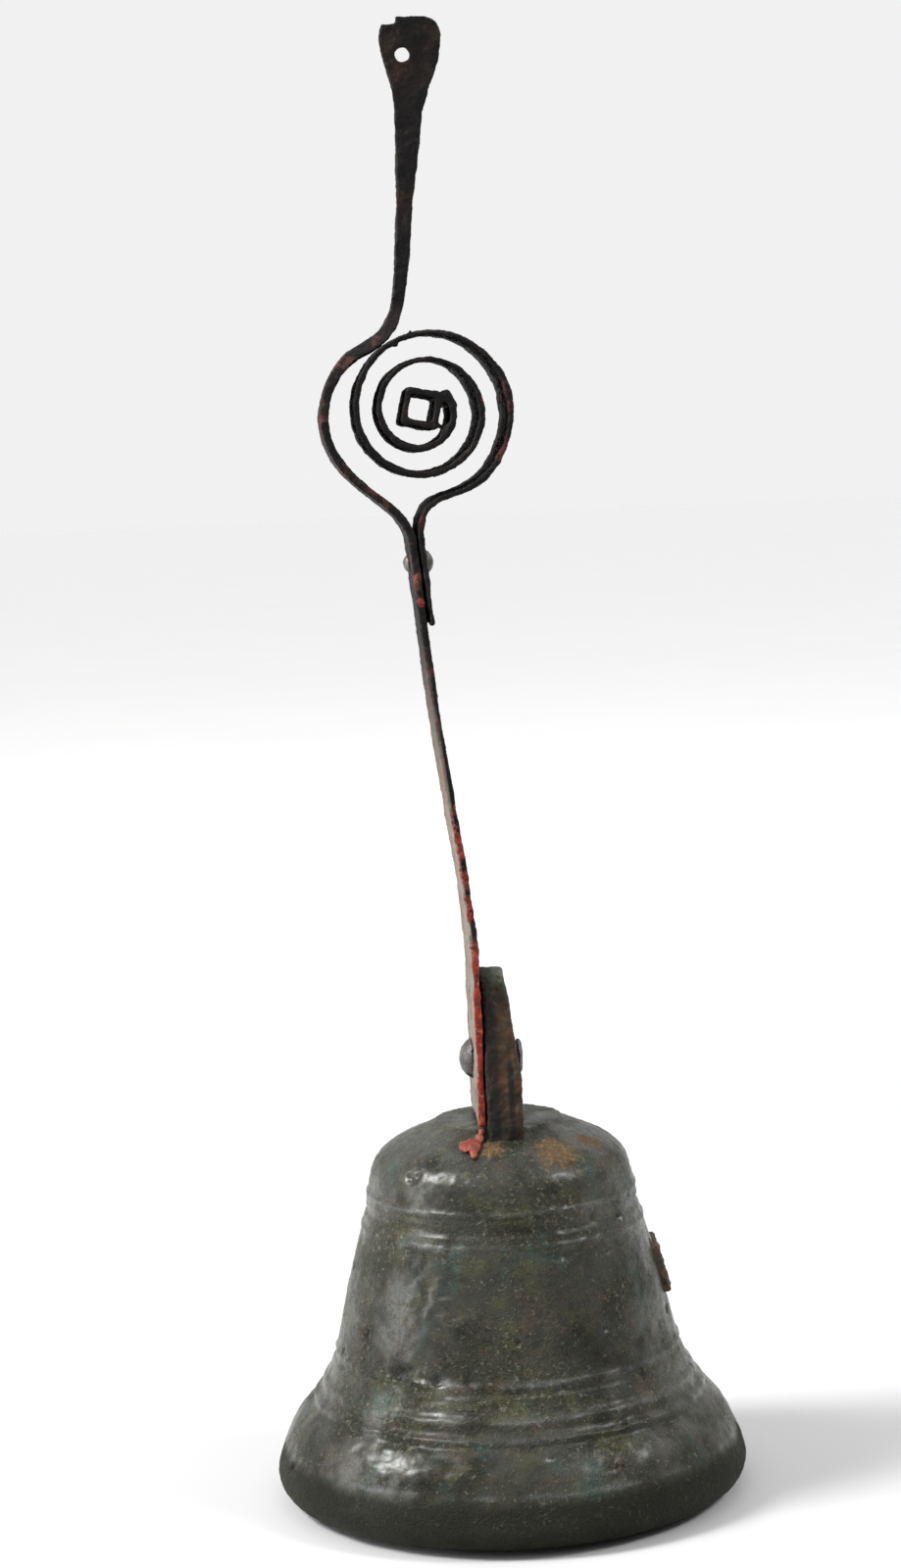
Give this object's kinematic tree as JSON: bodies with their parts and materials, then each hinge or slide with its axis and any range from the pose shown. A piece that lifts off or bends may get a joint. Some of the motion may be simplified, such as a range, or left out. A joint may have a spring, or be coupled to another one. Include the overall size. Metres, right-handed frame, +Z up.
{
  "type": "servants' call bell",
  "caption": "Cast bell with a lug on its crown, rivetted to a forged strip arm that hangs from a spiral ribbon spring with a square eye and ends in a pull tab.",
  "frame": {"origin": "centre of the bell's mouth, on the plane the rim stands on", "axes": "+Z up the bell's axis towards the pull tab, X in the plane of the coil, Y across the width of the spring strip"},
  "size_m": [0.1144, 0.1144, 0.351],
  "materials": {
    "bell_metal": "dark patina",
    "painted_iron": "rust with worn red lead paint",
    "spring_iron": "dark rust",
    "rivet_iron": "dark hammered iron"
  },
  "bodies": {
    "spring": {"coil_spring": "spring_iron"},
    "hanging_bell": {"bell_arm": "painted_iron", "bell": "bell_metal", "spring_rivet": "rivet_iron", "bell_rivet": "rivet_iron", "clapper_staple": "rivet_iron"},
    "clapper": {"clapper_rod": "rivet_iron", "clapper_ball": "rivet_iron"}
  },
  "joints": [
    {"name": "arm_swing", "type": "hinge", "parent": "spring", "child": "hanging_bell", "pos_m": [-0.0116, 0, 0.2603], "axis": [0, 1, 0], "range_deg": [-20, 20], "stiffness_Nm_per_rad": 8, "deforming": ["coil_spring"]},
    {"name": "clapper_swing", "type": "hinge", "parent": "hanging_bell", "child": "clapper", "pos_m": [0, 0, 0.0777], "axis": [0, 1, 0], "range_deg": [-29, 29]}
  ]
}
